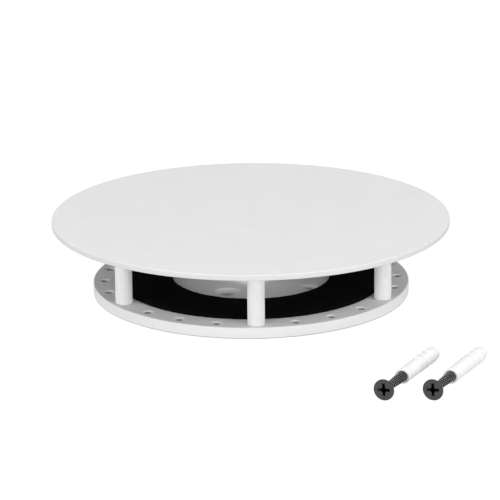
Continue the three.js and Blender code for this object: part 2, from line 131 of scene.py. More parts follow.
FINE_PITCH = 0.5 * MM  # of all the machine threads
FINE_STEP = 0.06 * MM  # size of the faces along such a thread
POSTS = 6
POST_RADIUS = 3.8 * MM
POST_ROUNDING = 0.3 * MM
STUD_LENGTH = 4.2 * MM
STUD_RADIUS = 1.25 * MM
STUD_BEVEL = 0.3 * MM
STUD_BITE = 0.2 * MM  # how far the stud reaches into the post
KNURL_STARTS = 24  # grooves of each hand around a post
KNURL_PITCH = 1.8 * MM  # height of one diamond
KNURL_DEPTH = 0.15 * MM
KNURL_BORDER = 0.4 * MM  # left plain at both ends
KNURL_FADE = 0.5 * MM
LEFT_HAND = 0.8  # depth of the left-hand grooves, as a share of the right-hand ones
SOCKET = mm(1.95, 3.2)  # radius and depth

GLIDE_STEM = mm(1.8, 2.6)  # radius and length

COLUMN_RADIUS = 8.8 * MM
COLUMN_FOOT = mm(10.2, 1.4)  # radius and height of its spread
COLUMN_FLOOR = 1.4 * MM
COLUMN_BORE = 5.1 * MM
COLUMN_FLARE = mm(8.6, 13.2)  # from and to, above its foot
COLUMN_SCREWS = 3
COLUMN_SCREW_BITE = mm(1.3, 5.0)  # radius and depth of its tapped hole
COLUMN_SCREW_CORE = 1.15 * MM
THREAD_ROOT = 0.85  # radius of its thread's root, as a share of that
COLUMN_SCREW_SOCKET = mm(0.8, 1.4)
GRUB_RADIUS = 1.3 * MM
GRUB_ROOT = 0.86  # radius of its thread's root, as a share of that
GRUB_HEIGHT = 12.4 * MM
GRUB_POINT = mm(0.85, 1.0)  # radius and length
GRUB_SOCKET = mm(0.75, 1.3)

SPINDLE_GROOVE = mm(3.1, 2.3)  # radius and width
BUSH_BORE = 4.15 * MM
BUSH_EDGE = 0.25 * MM

RACE_BORE = 6.4 * MM
RACE_TRACK = 2.6 * MM  # cross radius of the ball track
BALL_CIRCLE = 9.6 * MM
CAGE_POCKET = 2.65 * MM
CAGE_EDGES = mm(0.2, 0.3)
BALLS = 10
BALL_CELLS = 12  # faces along each edge of the cube that a ball is made from

HUB_BORE = 4.15 * MM
HUB_PILOT = mm(6.1, 1.8)  # radius and length
HUB_STUDS = 4
HUB_STUD_CIRCLE = 18.5 * MM
HUB_STUD_HOLE = 1.55 * MM
NUT_FLATS = 5.5 * MM
NUT_BORE = 1.48 * MM
NUT_BEVEL = 0.3 * MM
NUT_LEAD = 0.25 * MM
SPINDLE_CONE = 0.8 * MM

SCREW_SIDES = 72
SCREW_SHARP = math.radians(40)
SCREW_HEAD_RADIUS = 4.5 * MM
SCREW_HEAD_RIM = 0.35 * MM
SCREW_HEAD_HEIGHT = 2.9 * MM
SCREW_NECK = mm(1.6, 3.9)  # radius, and where it ends
SCREW_CORE = mm(1.3, 1.55)  # radius under the head, and in the plug's mouth
SCREW_CREST = mm(1.65, 2.2)
SCREW_SWELL = 17 * MM  # where the thread has its full size
SCREW_PITCH = 1.55 * MM
SCREW_BLADE = 0.17  # half the width of the thread's ridge, as a share of its pitch
SCREW_FADE = 0.8 * MM
SCREW_LENGTH = 40 * MM
SCREW_POINT = 4.5 * MM
RECESS_SPAN = 5.5 * MM
RECESS_WIDTH = 1.25 * MM
RECESS_FILLET = 0.55 * MM
RECESS_DEPTH = 2.1 * MM
RECESS_TAPER = 0.5  # size of its bottom, as a share of its mouth
RECESS_TURN = math.radians(-4)

PLUG_LENGTH = 35 * MM
PLUG_BORE = 2.32 * MM
PLUG_COLLAR = mm(3.3, 1.2)  # radius and length
PLUG_BODY = 3.2 * MM
PLUG_RIB = 3.35 * MM
PLUG_RIBS = 3
PLUG_RIBS_START = 17.0 * MM
PLUG_RIB_PITCH = 5.4 * MM
PLUG_RIB_SHAPE = mm(0.5, 2.6)  # from its foot to its crest, and to where it ends
PLUG_TIP = mm(2.9, 3.0)  # radius and length
PLUG_SLOT = mm(0.7, 9, 30)  # width, from and to
PLUG_SLOT_LEAN = math.radians(-36)

# Where a shader paints, mostly painted shade and a painted glint: the start and the end of a soft edge, in plain
# millimetres.
# Painted shade in the base plate's bores:
RIM_BORES_BELOW = (4.5, 4.4)  # heights above the base plate's underside
WIDE_BORES_BELOW = (4.0, 3.3)
WIDE_BORES_INSIDE = (50, 45)  # distances from its axis
RIM_BORES_OUTSIDE = (45, 50)
BORES_INSIDE = (70.5, 70)
WIDE_BORE_SHADE_SHARE = 0.4  # how far the wide bores go from the coat's tone to that of the rim's bores
# Painted shade on the platter's rim:
PLATTER_RIM = (89.65, 89.85)  # distances from the platter's axis
# Painted shade in the grooves of the knurl:
KNURL_CREST = (3.66, 3.79)  # distances from the post's axis
# Painted glint on the crest of the screw's thread:
CREST_GLINT = (1.34, 1.44)  # distances from the screw's axis, less the swelling of its thread
HEAD_CONE = (2.75, 2.85)  # distances from its axis
HEAD_FACE = (0.16, 0.04)  # depths from the head's face
# Depths from the head's face where the recess's painted shade gives way to the shank:
BELOW_RECESS = (2.3, 2.6)

# ------ mesh helpers


def rounded(corners, steps=6):
    """An outline from (radius, z, fillet) corners, with each fillet as an arc."""
    points = []
    count = len(corners)
    for i, (radius, height, fillet) in enumerate(corners):
        corner = Vector((radius, height))
        if not fillet:
            points.append(corner)
            continue
        back = (Vector(corners[i - 1][:2]) - corner).normalized()
        ahead = (Vector(corners[(i + 1) % count][:2]) - corner).normalized()
        half = back.angle(ahead) / 2
        centre = corner + (back + ahead).normalized() * fillet / math.sin(half)
        start = corner + back * fillet / math.tan(half) - centre
        end = corner + ahead * fillet / math.tan(half) - centre
        sweep = start.angle_signed(end)
        for step in range(steps + 1):
            points.append(centre + Matrix.Rotation(-sweep * step / steps, 2) @ start)
    return points


def plate(radius, low, high, lower, upper, steps=6):
    """An outline of a solid disc with these fillets at its lower and its upper edge."""
    return rounded([(0, low, 0), (radius, low, lower), (radius, high, upper), (0, high, 0)], steps)


def tube(inner, outer, low, high, fillet_in, fillet_out):
    """A closed outline of a tube with these fillets at its inner and its outer edges."""
    return ring([
        (inner, low, fillet_in), (outer, low, fillet_out),
        (outer, high, fillet_out), (inner, high, fillet_in),
    ])


def ring(corners, steps=4):
    """A closed outline from (radius, z, fillet) corners."""
    outline = rounded(corners, steps)
    outline.append(outline[0])
    return outline


def divided(start, end, step):
    """Points from start to end, both left out, no further apart than step."""
    start, end = Vector(start), Vector(end)
    count = max(1, math.ceil((end - start).length / step))
    return [start.lerp(end, i / count) for i in range(1, count)]


def turned(outline, sides=SIDES, relief=None):
    """Vertices and faces of an outline of (radius, z) points turned about Z.

    It runs up the outside. It closes on the axis, or on itself if its last point is its first.
    relief(angle, radius, z) gives how much further out a point stands.
    """
    points = [Vector(point[:2]) for point in outline]
    closed = (points[0] - points[-1]).length < 1e-9
    if closed:
        points.pop()
    vertices, rings = [], []
    for radius, height in points:
        if radius < 1e-9:
            rings.append([len(vertices)] * sides)
            vertices.append((0, 0, height))
            continue
        rings.append(list(range(len(vertices), len(vertices) + sides)))
        for side in range(sides):
            angle = TURN * side / sides
            out = radius + (relief(angle, radius, height) if relief else 0)
            vertices.append((out * math.sin(angle), -out * math.cos(angle), height))
    faces = []
    pairs = list(zip(rings, rings[1:]))
    if closed:
        pairs.append((rings[-1], rings[0]))
    for low, high in pairs:
        for side in range(sides):
            after = (side + 1) % sides
            face = list(dict.fromkeys([low[side], low[after], high[after], high[side]]))
            if len(face) > 2:
                faces.append(face)
    return vertices, faces


def rod(radius, low, high, sides=BORE_SIDES):
    """Vertices and faces of a plain cylinder."""
    return turned([(0, low), (radius, low), (radius, high), (0, high)], sides)


def in_scene(name, data):
    """A new object in the scene."""
    thing = bpy.data.objects.new(name, data)
    bpy.context.scene.collection.objects.link(thing)
    return thing


def new_object(name, vertices, faces):
    mesh = bpy.data.meshes.new(name)
    mesh.from_pydata([tuple(vertex) for vertex in vertices], [], faces)
    mesh.validate()
    return in_scene(name, mesh)


def lathe(name, outline, sides=SIDES, relief=None):
    return new_object(name, *turned(outline, sides, relief))


def settled(piece):
    """The piece with its modifiers applied."""
    graph = bpy.context.evaluated_depsgraph_get()
    mesh = bpy.data.meshes.new_from_object(piece.evaluated_get(graph))
    piece.modifiers.clear()
    piece.data = mesh
    return piece


def boolean(piece, tool, operation):
    bpy.context.view_layer.update()
    modifier = piece.modifiers.new("shape", "BOOLEAN")
    modifier.operation = operation
    modifier.solver = "MANIFOLD"
    modifier.object = tool
    settled(piece)
    bpy.data.objects.remove(tool)


def cut(piece, vertices, faces, points=((0, 0, 0),)):
    """Cuts the same shape out of the piece at each of the points."""
    for point in points:
        tool = new_object("tool", [Vector(v) + Vector(point) for v in vertices], faces)
        boolean(piece, tool, "DIFFERENCE")


def shaded(piece, sharp=SHARP):
    """Smooth shading that keeps flat faces flat and sharp edges sharp."""
    mesh = piece.data
    mesh.polygons.foreach_set("use_smooth", [True] * len(mesh.polygons))
    mesh.set_sharp_from_angle(angle=sharp)
    modifier = piece.modifiers.new("flat faces", "WEIGHTED_NORMAL")
    modifier.keep_sharp = True
    modifier.weight = 100
    return settled(piece)


def on_circle(radius, angle, height=0.0):
    """A point on a circle about Z, where angle 0 is the front, -Y, and grows towards +X."""
    return Vector((radius * math.sin(angle), -radius * math.cos(angle), height))


def places(radius, count, first=0.0, height=0.0):
    return [on_circle(radius, first + i * TURN / count, height) for i in range(count)]


def sunk_hole(hole, thickness):
    """Cutter for a hole through a plate with a cone at its upper mouth, its outer edge rounded."""
    radius, mouth, depth, lip = hole
    over, rounding = MM, HOLE_ROUNDING
    reach = rounding * math.tan(TURN / 16)
    poke = 0.02 * rounding  # the arc ends just above the plate, so that the cut is clean
    middle = Vector((mouth + reach, thickness - rounding + poke))
    edge = []
    for step in range(5):
        angle = TURN / 4 + TURN / 8 * (1 - step / 4)
        edge.append(middle + rounding * Vector((math.cos(angle), math.sin(angle))))
    return turned([
        (0, -over), (radius + rounding + over, -over), (radius, rounding),
        (radius, thickness - depth), (mouth - lip, thickness - lip),
        *edge,
        (edge[-1].x + poke, thickness + over), (0, thickness + over),
    ], SMALL_SIDES)


def prism(outline, bottom, top, shrink=1.0):
    """Vertices and faces of a flat outline between two heights. shrink scales its upper end."""
    count = len(outline)
    vertices = [(x, y, bottom) for x, y in outline]
    vertices += [(x * shrink, y * shrink, top) for x, y in outline]
    faces = [list(range(count))[::-1], list(range(count, 2 * count))]
    for i in range(count):
        j = (i + 1) % count
        faces.append([i, j, count + j, count + i])
    return vertices, faces


def hexagon(radius, bottom, top, first=0.0):
    outline = [on_circle(radius, -first - TURN * i / 6).xy for i in range(6)]
    return prism(outline[::-1], bottom, top)


def tipped(angle, height):
    """Turns a shape about X and lifts it."""
    return Matrix.Translation((0, 0, height)) @ Matrix.Rotation(angle, 4, "X")


def moved(shape, matrix):
    vertices, faces = shape
    return [matrix @ Vector(vertex) for vertex in vertices], faces


def thread(depth, start, end, fade=FINE_PITCH):
    """Relief of a fine V thread: 0 in its valleys and depth on its crest, fading in and out."""

    def relief(angle, _radius, height):
        if not start < height < end:
            return 0.0
        share = (height / FINE_PITCH - angle / TURN) % 1.0
        crest = max(0.0, 1 - abs(share - 0.5) / 0.3)
        near = min(1.0, (height - start) / fade, (end - height) / fade)
        return depth * crest * near

    return relief


# ------ frame helpers


def radius_of(node):
    low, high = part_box(node)
    return max(high.x - low.x, high.y - low.y) / 2


def middle_of(node):
    low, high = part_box(node)
    return (low + high) / 2


def heights_of(node):
    low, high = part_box(node)
    return low.z, high.z


def span_of(node):
    """A node's radius, and the heights of its two ends."""
    return radius_of(node), *heights_of(node)


def dress(piece, material):
    piece.data.materials.clear()
    piece.data.materials.append(MATERIALS[material])


def place(piece, node, material, height=None):
    """Puts a piece where its CAD node is, with its finish, and lets it stand for the node."""
    if height is not None:
        middle = middle_of(node)
        piece.location = (middle.x, middle.y, height)
    dress(piece, material)
    bodies = frame["record"]["behaviour"]["bodies"]
    body = next(name for name, nodes in bodies.items() if node in nodes)
    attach(piece, body)
    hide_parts(node)


def numbered(piece, name, number):
    """The piece itself as number 1, or a copy of it, with its name and number."""
    if number > 1:
        piece = in_scene(name, piece.data)
    piece.name = f"{name}_{number}"
    return piece


def place_all(piece, name, node, count, material, height=0):
    """Puts a numbered piece at each of the CAD nodes with the same numbers."""
    for number in range(1, count + 1):
        place(numbered(piece, name, number), f"{node}_{number}", material, height)


# ------ materials


def feed(tree, node, inputs):
    """Links each of the inputs to an output, or sets it to a constant."""
    for name, value in inputs.items():
        if isinstance(value, bpy.types.NodeSocket):
            tree.links.new(value, node.inputs[name])
        else:
            node.inputs[name].default_value = value


def wired(tree, kind, inputs, output, operation=None):
    """An output of a new node with these inputs."""
    node = tree.nodes.new("ShaderNode" + kind)
    if operation:
        node.operation = operation
    feed(tree, node, inputs)
    return node.outputs[output]


def ramped(tree, value, *stops):
    """Colours that go from one (value, colour) stop to the other."""
    node = tree.nodes.new("ShaderNodeValToRGB")
    for element, (at, colour) in zip(node.color_ramp.elements, stops):
        element.position = at
        element.color = (*colour, 1)
    feed(tree, node, {"Fac": value})
    return node.outputs["Color"]


def new_material(name):
    """A new material, its node tree and its Principled shader."""
    material = bpy.data.materials.new(name)
    material.use_nodes = True
    return material, material.node_tree, material.node_tree.nodes["Principled BSDF"]


class Surface:
    """A material with a Principled shader, and short calls for the nodes that feed it."""

    def __init__(self, name, roughness, metallic=0.0, specular=0.5):
        self.material, self.tree, self.shader = new_material(name)
        self.feed({"Roughness": roughness, "Metallic": metallic, "Specular IOR Level": specular})
        self.coordinates = self.node("TexCoord", {}, "Object")

    def feed(self, inputs):
        feed(self.tree, self.shader, inputs)

    def finished(self, colour, roughness, normal):
        """The material, with these outputs linked to its shader."""
        self.feed({"Base Color": colour, "Roughness": roughness, "Normal": normal})
        return self.material

    def node(self, kind, inputs, output, operation=None):
        return wired(self.tree, kind, inputs, output, operation)

    def stretched(self, x, y, z):
        """The object's coordinates, scaled along each axis."""
        return self.node("Mapping", {"Scale": (x, y, z), "Vector": self.coordinates}, "Vector")

    def noise(self, size, detail=3.0, roughness=0.5, vector=None):
        """Noise whose lumps are about size metres across."""
        look = {"Scale": 1 / size, "Detail": detail, "Roughness": roughness}
        return self.node("TexNoise", {**look, "Vector": vector or self.coordinates}, "Fac")

    def cells(self, size):
        return self.node("TexVoronoi", {"Scale": 1 / size, "Vector": self.coordinates}, "Distance")

    def ramp(self, value, low, high, start=0.3, end=0.7):
        """Colours from low to high, as the value goes from start to end."""
        return ramped(self.tree, value, (start, low), (end, high))

    def step(self, value, start, end, low=0.0, high=1.0):
        """A number from low to high, as the value goes from start to end."""
        limits = {"From Min": start, "From Max": end, "To Min": low, "To Max": high}
        return self.node("MapRange", {**limits, "Value": value}, "Result")

    def spread(self, value, low, high):
        """A number from low to high, over most of the range of a noise."""
        return self.step(value, 0.3, 0.7, low, high)

    def from_axis(self):
        """Distance from the object's Z axis, in millimetres."""
        return self.node("VectorMath", {0: self.stretched(1 / MM, 1 / MM, 0)}, "Value", "LENGTH")

    def along_axis(self):
        """Height on the object's Z axis, in millimetres."""
        return self.node("SeparateXYZ", {0: self.stretched(0, 0, 1 / MM)}, "Z")

    def maths(self, operation, *values):
        return self.node("Math", dict(enumerate(values)), "Value", operation)

    def mixed(self, share, low, high):
        """Colours from low to high, as the share goes from 0 to 1."""
        node = self.tree.nodes.new("ShaderNodeMix")
        node.data_type = "RGBA"
        low, high = ((*c, 1) if isinstance(c, tuple) else c for c in (low, high))
        feed(self.tree, node, {"Factor": share, 6: low, 7: high})
        return node.outputs[2]

    def bump(self, height, depth, strength=1.0, below=None):
        inputs = {"Strength": strength, "Distance": depth, "Height": height}
        if below:
            inputs["Normal"] = below
        return self.node("Bump", inputs, "Normal")


def grey(value, warmth=0.0):
    return (value * (1 + warmth), value, value * (1 - warmth))


def white_paint(name="white_powder_coat", tone=0.75, where=None, other=None):
    """Matt powder coat: fine orange peel, and hardly any change of tone.

    where(surface) gives the share of the other tone at each place.
    """
    surface = Surface(name, roughness=0.5, specular=0.01)
    cloud = surface.noise(18 * MM, detail=4)
    peel = surface.noise(0.9 * MM, detail=2)
    grain = surface.noise(0.22 * MM, detail=2)
    coat = surface.ramp(cloud, grey(tone - 0.01), grey(tone + 0.01, 0.002))
    if where:
        coat = surface.mixed(where(surface), coat, other)
    relief = surface.bump(peel, 0.012 * MM, 0.5, surface.bump(grain, 0.004 * MM, 0.6))
    return surface.finished(coat, surface.spread(peel, 0.46, 0.56), relief)


def painted_bore_shade(surface):
    """Painted shade inside the holes of the base plate, which darkens their bores where shade falls."""
    radius, height = surface.from_axis(), surface.along_axis()
    low_at_rim = surface.step(height, *RIM_BORES_BELOW)
    low_inside = surface.step(height, *WIDE_BORES_BELOW)
    wide_bores = surface.maths("MULTIPLY", low_inside, surface.step(radius, *WIDE_BORES_INSIDE))
    paler = surface.maths("MULTIPLY", wide_bores, WIDE_BORE_SHADE_SHARE)
    rim_bores = surface.maths("MULTIPLY", low_at_rim, surface.step(radius, *RIM_BORES_OUTSIDE))
    either = surface.maths("MAXIMUM", paler, rim_bores)
    return surface.maths("MULTIPLY", either, surface.step(radius, *BORES_INSIDE))


def painted_rim_shade(surface):
    """On the rim of the platter: painted shade that makes the rim darker than the top."""
    return surface.step(surface.from_axis(), *PLATTER_RIM)


def knurled_paint():
    """Powder coat over a knurl: a little rougher, with painted shade in the grooves."""
    surface = Surface("white_coat_on_knurl", roughness=0.5, specular=0.45)
    cloud = surface.noise(4 * MM, detail=4)
    grain = surface.noise(0.2 * MM, detail=3)
    coat = surface.ramp(cloud, grey(0.84), grey(0.86, 0.002))
    crest = surface.step(surface.from_axis(), *KNURL_CREST)
    # painted shade: the grooves are darker than the crests
    groove_shaded = surface.mixed(crest, grey(0.77), coat)
    relief = surface.bump(grain, 0.012 * MM, 0.7)
    return surface.finished(groove_shaded, surface.spread(grain, 0.42, 0.56), relief)


def black_felt():
    """Dense needled felt: matted fibres that send hardly any light back."""
    surface = Surface("black_needle_felt", roughness=0.95, specular=0.03)
    mat = surface.noise(1.1 * MM, detail=6, roughness=0.7)
    fibres = surface.noise(0.25 * MM, detail=5, roughness=0.75)
    tone = surface.ramp(mat, grey(0.0018), grey(0.0065, -0.05), 0.35, 0.75)
    relief = surface.bump(fibres, 0.06 * MM, 0.9, surface.bump(mat, 0.15 * MM, 0.8))
    return surface.finished(tone, surface.spread(fibres, 0.85, 1.0), relief)


def felt_fibre():
    surface = Surface("black_felt_fibre", roughness=0.7, specular=0.08)
    cloud = surface.noise(2.5 * MM, detail=3)
    tone = surface.ramp(cloud, grey(0.002), grey(0.012), 0.4, 0.7)
    surface.feed({"Base Color": tone, "Roughness": surface.spread(cloud, 0.6, 0.85)})
    return surface.material


def nylon(name, low, high, roughness):
    """Moulded nylon: slightly cloudy, with soft flow marks."""
    surface = Surface(name, roughness=roughness, specular=0.15)
    cloud = surface.noise(3 * MM, detail=4)
    grain = surface.noise(0.35 * MM, detail=3)
    tone = surface.ramp(cloud, grey(low, 0.006), grey(high, 0.003))
    gloss = surface.spread(grain, roughness - 0.06, roughness + 0.06)
    return surface.finished(tone, gloss, surface.bump(grain, 0.004 * MM, 0.6))


def metal(name, low, high, roughness, lay=(1, 1, 12), depth=0.004):
    """Bare metal with tool marks that run around it. low and high are its two colours."""
    surface = Surface(name, roughness=roughness, metallic=1.0)
    cloud = surface.noise(5 * MM, detail=5)
    marks = surface.noise(1.2 * MM, detail=4, roughness=0.6, vector=surface.stretched(*lay))
    gloss = surface.spread(marks, roughness * 0.75, roughness * 1.3)
    relief = surface.bump(marks, depth * MM, 0.6)
    return surface.finished(surface.ramp(cloud, low, high), gloss, relief)


def black_phosphate():
    """Dull grey-black coat with a fine crystal grain, for screws that point along +Z.

    It has painted shade in the recess, which is black, a shank darker than the head, and a painted glint along the
    crest of the thread.
    """
    surface = Surface("black_phosphate", roughness=0.5, metallic=0.3, specular=0.5)
    blotch = surface.noise(1.3 * MM, detail=5, roughness=0.6)
    grain = surface.cells(0.16 * MM)
    radius, depth = surface.from_axis(), surface.along_axis()
    swell = (SCREW_CREST[1] - SCREW_CREST[0]) / (SCREW_SWELL - SCREW_NECK[1])
    swelling = surface.maths("MINIMUM", depth, SCREW_SWELL / MM)
    height = surface.maths("MULTIPLY_ADD", swelling, -swell, radius)
    # painted glint: a bright band along the crest of the thread
    crest = surface.step(height, *CREST_GLINT)
    shank = surface.ramp(crest, grey(0.002), grey(0.38), 0, 1)
    # painted shade: the recess is black
    inside = surface.mixed(surface.step(depth, *BELOW_RECESS), grey(0), shank)
    head = surface.ramp(blotch, grey(0.043), grey(0.058, -0.01))
    cone = surface.step(radius, *HEAD_CONE)
    coated = surface.maths("MAXIMUM", cone, surface.step(depth, *HEAD_FACE))
    tone = surface.mixed(coated, inside, head)
    shine = surface.maths("MULTIPLY_ADD", surface.maths("MAXIMUM", coated, crest), 0.4, 0.1)
    surface.feed({"Specular IOR Level": shine})
    relief = surface.bump(grain, 0.01 * MM, 0.5)
    return surface.finished(tone, surface.spread(blotch, 0.42, 0.56), relief)


MATERIALS = {
    "paint": white_paint(),
    # the base plate's coat carries painted shade in its bores
    "bore_shaded_paint": white_paint("powder_coat_with_painted_bore_shade", 0.81, painted_bore_shade, grey(0.48)),
    # the platter's coat carries painted shade on its rim
    "rim_shaded_paint": white_paint("powder_coat_with_painted_rim_shade", 0.745, painted_rim_shade, grey(0.685)),
    "knurled_paint": knurled_paint(),
    "felt": black_felt(),
    "fibre": felt_fibre(),
    "glide": nylon("natural_nylon", 0.74, 0.80, 0.42),
    "plug": nylon("white_plug_nylon", 0.81, 0.83, 0.5),
    "steel": metal("turned_steel", grey(0.50), grey(0.58), 0.28),
    "zinc": metal("bright_zinc", (0.55, 0.57, 0.60), (0.63, 0.65, 0.68), 0.3, (1, 1, 1)),
    "ball": metal("polished_steel", grey(0.66), grey(0.72), 0.08, (1, 1, 1), 0.0005),
    "bronze": metal("sintered_bronze", (0.45, 0.26, 0.12), (0.58, 0.36, 0.18), 0.42, (1, 1, 1)),
    "brass": metal("stamped_brass", (0.62, 0.44, 0.18), (0.72, 0.54, 0.25), 0.3, (1, 1, 1)),
    "aluminium": metal("turned_aluminium", grey(0.66), grey(0.72), 0.33),
    "black": black_phosphate(),
}

# ------ fixed base


def base_plate():
    radius, low, high = span_of("base_plate")
    thickness = high - low
    outline = plate(radius, 0, thickness, PLATE_ROUNDING / 2, PLATE_ROUNDING)
    piece = lathe("base_disc", outline, 2 * SIDES)
    post_circle = -middle_of("support_post_1").y
    cut(piece, *sunk_hole(POST_HOLE, thickness), places(post_circle, POST_HOLES))
    cut(piece, *sunk_hole(SCREW_HOLE, thickness), places(SCREW_HOLE_CIRCLE, 2, -TURN / 12))
    cut(piece, *sunk_hole(PIN_HOLE, thickness), places(PIN_HOLE_CIRCLE, 2, TURN / 6))
    from_below = moved(sunk_hole(COLUMN_SCREW_HOLE, thickness), tipped(math.pi, thickness))
    column_circle = -middle_of("column_screw_1").y
    cut(piece, *from_below, places(column_circle, COLUMN_SCREWS))
    place(shaded(piece), "base_plate", "bore_shaded_paint", 0)


def lumps(size, seed):
    """Relief of the felt's soft random lumps about size across, the same on every run."""

    def relief(angle, radius, height):
        point = on_circle(radius, angle, height) / size + Vector((seed, seed, seed))
        return FELT_ROUGHNESS * noise.noise(point)

    return relief


def felt_pad():
    outer, bottom, top = span_of("felt_pad")
    corners = rounded([
        (FELT_INNER_RADIUS, bottom, 0), (outer, bottom, FELT_EDGE / 3),
        (outer, top, FELT_EDGE), (FELT_INNER_RADIUS, top, FELT_EDGE),
    ], 5)
    outline = []
    for here, after in zip(corners, corners[1:] + corners[:1]):
        outline += [here, *divided(here, after, FELT_STEP)]
    outline.append(outline[0])
    piece = lathe("felt_ring", outline, 3 * SIDES, lumps(*FELT_FUZZ))
    swell = lumps(*FELT_SWELL)
    for vertex in piece.data.vertices:
        if vertex.co.z > bottom + FELT_FLAT:
            angle = math.atan2(vertex.co.x, -vertex.co.y)
            vertex.co.z += swell(angle, vertex.co.xy.length, vertex.co.z)
    piece.data.polygons.foreach_set("use_smooth", [True] * len(piece.data.polygons))
    place(piece, "felt_pad", "felt")
    return outer, bottom, top


def fibre(start, heading, lift, length, thickness, bend):
    """Vertices and faces of one bent fibre with three sides."""
    side = Vector((-heading.y, heading.x, 0)).normalized()
    vertices, faces = [], [[0, 1, 2]]
    for ring_number in range(FIBRE_RINGS):
        share = ring_number / (FIBRE_RINGS - 1)
        centre = start + heading * length * share + side * bend * math.sin(math.pi * share)
        centre.z += lift * math.sin(math.pi * 0.75 * share)
        thin = thickness * (1 - FIBRE_TAPER * share)
        for corner in range(3):
            angle = TURN * corner / 3
            across = side * thin * math.cos(angle)
            vertices.append(centre + across + Vector((0, 0, thin * math.sin(angle))))
    for low in range(0, 3 * FIBRE_RINGS - 3, 3):
        high = low + 3
        for corner in range(3):
            after = (corner + 1) % 3
            faces.append([low + corner, high + corner, high + after, low + after])
    last = 3 * (FIBRE_RINGS - 1)
    faces.append([last + 2, last + 1, last])
    return vertices, faces


def felt_fibres(outer, bottom, top):
    """Loose fibres that stand a little out of the felt, most of them at its two edges."""
    draw = random.Random(FIBRE_SEED)
    vertices, faces = [], []
    for _ in range(FELT_FIBRES):
        angle = draw.uniform(0, TURN)
        where = draw.random()
        if where < AT_AN_EDGE:
            away = abs(draw.gauss(0, FIBRE_GATHER)) * MM
            radius = outer - away if where < AT_OUTER_EDGE else FELT_INNER_RADIUS + away
            height = draw.uniform(bottom + FELT_FLAT, top)
        else:
            radius = math.sqrt(draw.uniform(FELT_INNER_RADIUS**2, outer**2))
            height = top
        heading = on_circle(1, draw.uniform(0, TURN))
        start = on_circle(radius, angle, height - 0.05 * MM)
        length = draw.uniform(*FIBRE_LENGTH) * MM
        lift = draw.uniform(*FIBRE_LIFT) * MM
        thickness = draw.uniform(*FIBRE_THICKNESS) * MM
        bend = draw.uniform(*FIBRE_BEND) * MM
        new_vertices, new_faces = fibre(start, heading, lift, length, thickness, bend)
        offset = len(vertices)
        vertices += new_vertices
        faces += [[corner + offset for corner in face] for face in new_faces]
    piece = new_object("felt_fibres", vertices, faces)
    dress(piece, "fibre")
    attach(piece, "base")


def knurl(foot, top):
    """Relief of a diamond knurl: crossed grooves of both hands, softened by the paint."""

    def relief(angle, _radius, height):
        near = min(height - foot - KNURL_BORDER, top - KNURL_BORDER - height)
        share = max(0.0, min(1.0, near / KNURL_FADE))
        around = KNURL_STARTS * angle / TURN
        along = (height - foot) / KNURL_PITCH
        right = (0.5 + 0.5 * math.cos(TURN * (around + along))) ** 2
        left = (0.5 + 0.5 * math.cos(TURN * (around - along))) ** 2
        return -KNURL_DEPTH * share * max(right, LEFT_HAND * left)

    return relief


def support_posts():
    low, high = heights_of("support_post_1")
    foot = low + STUD_LENGTH
    corners = plate(POST_RADIUS, foot, high, POST_ROUNDING, POST_ROUNDING, 5)
    half = len(corners) // 2
    shank = divided(corners[half - 1], corners[half], KNURL_PITCH / 12)
    outline = [*corners[:half], *shank, *corners[half:]]
    post = lathe("post", outline, KNURL_STARTS * 10, knurl(foot, high))
    radius, depth = SOCKET
    cut(post, *rod(radius, high - depth, high + MM))
    shaded(post)
    stud = shaded(new_object("stud", *threaded_stud(STUD_RADIUS, low, foot + STUD_BITE)))
    for number in range(1, POSTS + 1):
        node = f"support_post_{number}"
        place(numbered(post, "knurled_post", number), node, "knurled_paint", 0)
        stud_piece = numbered(stud, "post_stud", number)
        middle = middle_of(node)
        stud_piece.location = (middle.x, middle.y, 0)
        dress(stud_piece, "zinc")
        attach(stud_piece, "base")


def threaded_stud(radius, low, high):
    """Vertices and faces of a threaded rod with bevelled ends."""
    depth = 0.6 * FINE_PITCH
    core = radius - depth
    start, end = Vector((core, low + STUD_BEVEL)), Vector((core, high - STUD_BEVEL))
    outline = [
        (0, low), (core - STUD_BEVEL / 3, low),
        start, *divided(start, end, FINE_PITCH / 8), end,
        (core - STUD_BEVEL / 3, high), (0, high),
    ]
    first, last = low + STUD_BEVEL / 2, high - STUD_BEVEL / 2
    return turned(outline, BORE_SIDES, thread(depth, first, last))


def post_glides():
    radius, low, high = span_of("post_glide_1")
    stem, length = GLIDE_STEM
    head = low + length
    piece = lathe("glide", rounded([
        (0, low, 0), (stem, low, 0.4 * MM), (stem, head, 0), (radius, head, 0.15 * MM),
        (radius, head + 0.55 * (high - head), 0.3 * MM), (radius * 0.7, high, 0.6 * MM),
        (0, high, 0),
    ]), SMALL_SIDES)
    place_all(shaded(piece), "nylon_glide", "post_glide", POSTS, "glide")


GRUB_PLACE = tipped(-TURN / 4, GRUB_HEIGHT)


